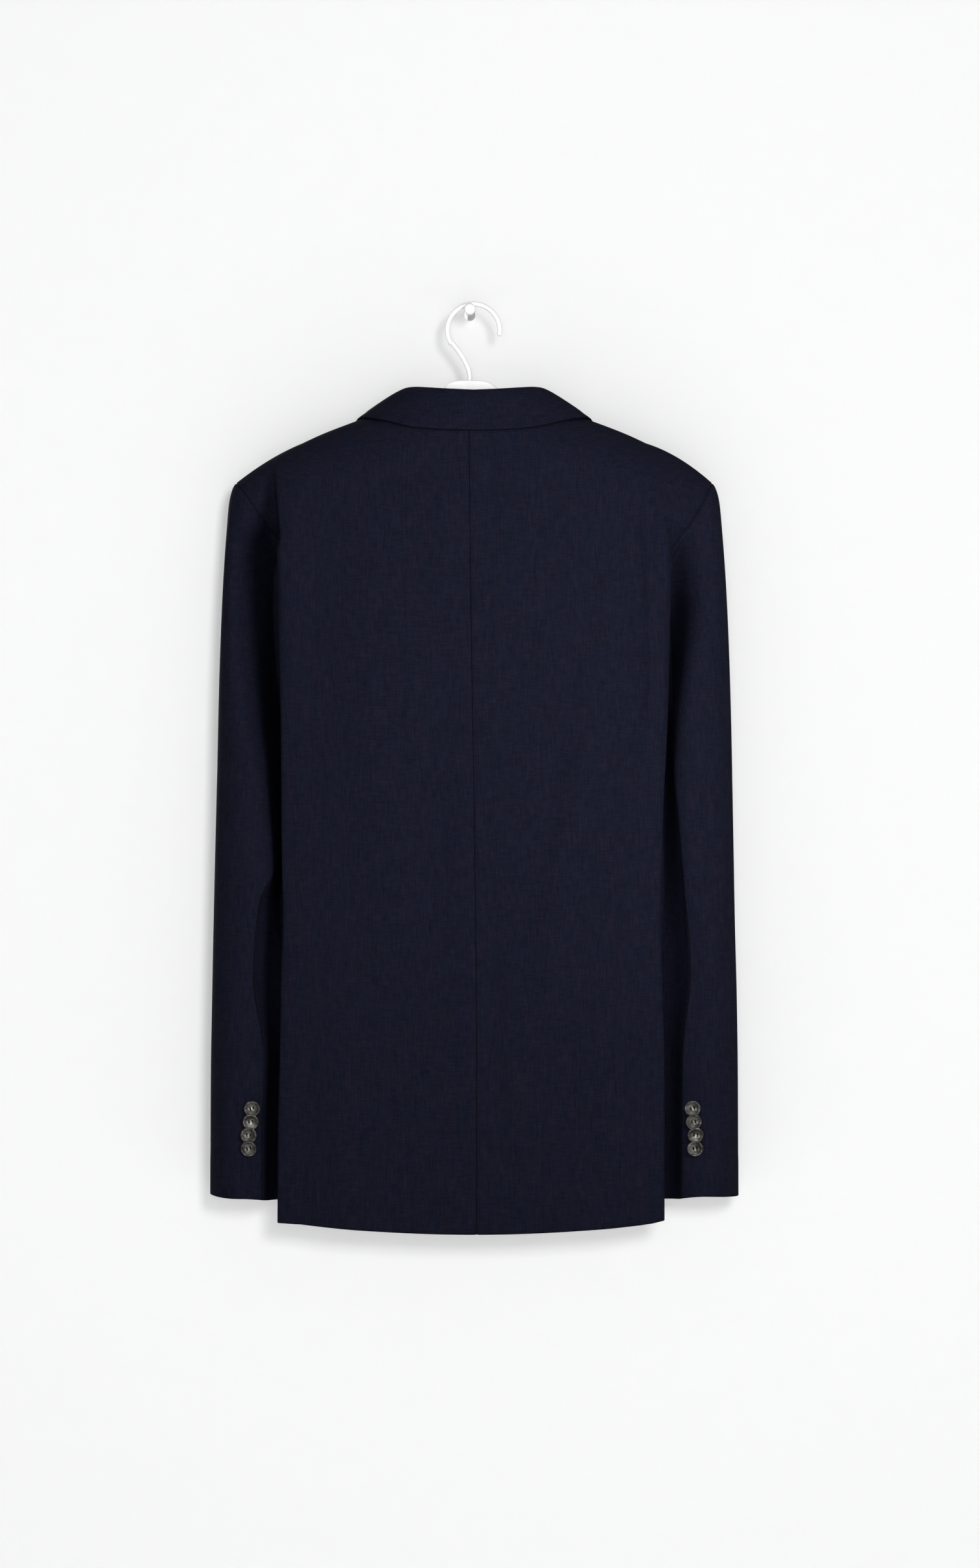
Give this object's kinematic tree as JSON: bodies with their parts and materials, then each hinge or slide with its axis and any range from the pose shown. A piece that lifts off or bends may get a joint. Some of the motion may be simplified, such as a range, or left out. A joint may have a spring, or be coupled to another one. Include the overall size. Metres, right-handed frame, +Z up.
{
  "type": "blazer on a hanger",
  "caption": "Man's single-breasted tailored blazer, hollow and open at neck, hem and cuffs, hanging closed on a plain hanger whose hook rests on a wall peg, its back facing out.",
  "frame": {"origin": "middle of the peg's flat back, where the peg meets the wall; the blazer hangs below it", "axes": "+Z up; +Y into the wall, so the back of the blazer faces -Y and its fronts face the wall; +X to the wearer's right sleeve"},
  "size_m": [0.4922, 0.1054, 0.8645],
  "materials": {
    "wool": "fine plain-weave navy wool, matt, faint melange",
    "horn": "polished grey-brown horn look",
    "white_coat": "satin white coating"
  },
  "bodies": {
    "root": {"back_left": "wool", "front_left": "wool", "side_left": "wool", "top_sleeve_left": "wool", "under_sleeve_left": "wool", "lapel_left": "wool", "back_right": "wool", "front_right": "wool", "side_right": "wool", "top_sleeve_right": "wool", "under_sleeve_right": "wool", "lapel_right": "wool", "collar": "wool", "cuff_button_left_1": "horn", "cuff_button_left_2": "horn", "cuff_button_left_3": "horn", "cuff_button_left_4": "horn", "cuff_button_right_1": "horn", "cuff_button_right_2": "horn", "cuff_button_right_3": "horn", "cuff_button_right_4": "horn", "front_button_1": "horn", "front_button_2": "horn", "hanger": "white_coat", "hook": "white_coat", "peg": "white_coat"}
  },
  "joints": []
}
